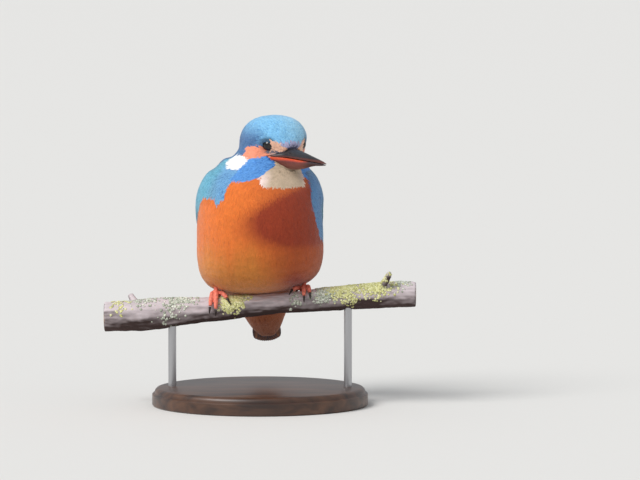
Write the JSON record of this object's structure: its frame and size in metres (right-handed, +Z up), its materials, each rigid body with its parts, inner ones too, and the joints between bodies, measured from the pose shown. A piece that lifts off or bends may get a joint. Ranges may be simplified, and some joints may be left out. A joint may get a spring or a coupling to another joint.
{
  "type": "kingfisher",
  "caption": "Life-size female common kingfisher, blue above and orange below, head turned to its left, perched on a cut length of branch over a round display base.",
  "frame": {"origin": "centre of the underside of the round base, on the surface it stands on", "axes": "+Z up; the bird's breast faces -Y; +X is the bird's left, and the branch runs along X"},
  "size_m": [0.156, 0.108, 0.1452],
  "materials": {
    "plumage_blue": "soft barred feather, bright sky blue",
    "plumage_teal": "soft spotted feather, teal blue",
    "plumage_orange": "soft downy feather, rusty orange",
    "plumage_white": "soft feather, warm white",
    "flight_feathers": "stiff feather, blackish blue",
    "horn_black": "satin dark horn",
    "horn_red": "satin orange-red horn, dark tip",
    "eye": "wet dark brown",
    "foot_skin": "scuted coral-red skin",
    "claw_horn": "dark horn",
    "bark": "rough bark with lichen",
    "base_wood": "oiled dark wood",
    "rod": "brushed steel"
  },
  "bodies": {
    "root": {"head": "plumage_blue", "neck": "plumage_white", "trunk": "plumage_orange", "wing_right": "plumage_teal", "wing_left": "plumage_teal", "primaries_right": "flight_feathers", "primaries_left": "flight_feathers", "tail": "flight_feathers", "bill_upper": "horn_black", "bill_lower": "horn_red", "eye_right": "eye", "eye_left": "eye", "leg_right": "foot_skin", "leg_left": "foot_skin", "foot_right": "foot_skin", "foot_left": "foot_skin", "perch": "bark", "stand_base": "base_wood", "stand_rod_right": "rod", "stand_rod_left": "rod", "claw_right_middle": "claw_horn", "claw_right_outer": "claw_horn", "claw_right_inner": "claw_horn", "claw_right_hind": "claw_horn", "claw_left_middle": "claw_horn", "claw_left_outer": "claw_horn", "claw_left_inner": "claw_horn", "claw_left_hind": "claw_horn"}
  },
  "joints": []
}
